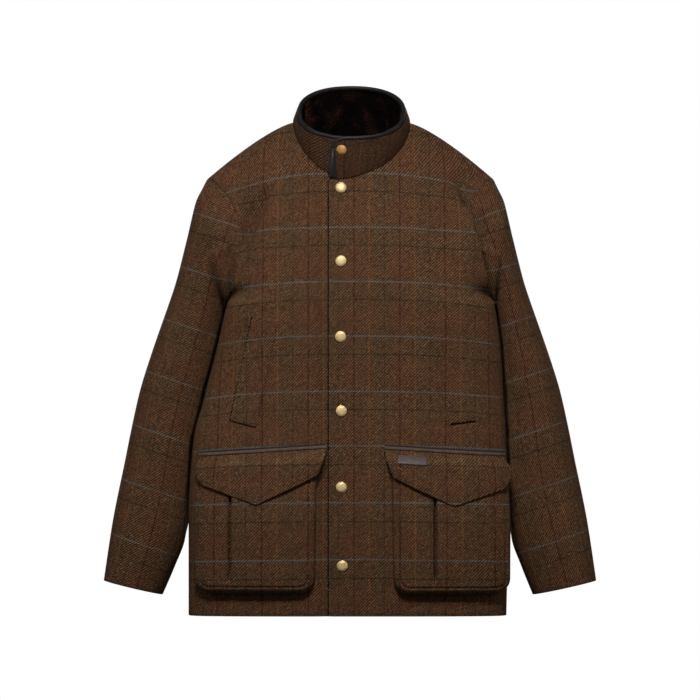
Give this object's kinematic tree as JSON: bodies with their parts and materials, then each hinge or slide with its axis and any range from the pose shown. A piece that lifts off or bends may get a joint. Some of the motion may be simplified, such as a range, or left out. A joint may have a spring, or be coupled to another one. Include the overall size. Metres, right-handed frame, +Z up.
{
  "type": "tweed field jacket",
  "caption": "Hip-length tweed field jacket, filled out and hollow, with a stand collar, a snap-fastened front, flapped bellows pockets and hand-warmer welts.",
  "frame": {"origin": "middle of the neck base, level with the top of the shoulders, where the wearer's neck and shoulders hold it", "axes": "+Z up, the front faces -Y, +X towards the wearer's left"},
  "size_m": [0.788, 0.2215, 0.8475],
  "materials": {
    "tweed": "brown twill tweed with a windowpane overcheck",
    "plush": "soft dark brown pile",
    "leather": "smooth dark brown",
    "trim": "plain grey-brown braid",
    "brass": "pale, polished"
  },
  "bodies": {
    "root": {"front_left": "tweed", "front_right": "tweed", "back": "tweed", "sleeve_left": "tweed", "sleeve_right": "tweed", "collar": "tweed", "collar_lining": "plush", "collar_binding": "leather", "pocket_left": "tweed", "pocket_right": "tweed", "flap_left": "tweed", "flap_right": "tweed", "pocket_trim_left": "trim", "pocket_trim_right": "trim", "welt_left": "tweed", "welt_right": "tweed", "label_tab": "leather", "snap_1": "brass", "snap_2": "brass", "snap_3": "brass", "snap_4": "brass", "snap_5": "brass", "snap_6": "brass", "snap_7": "brass"}
  },
  "joints": []
}
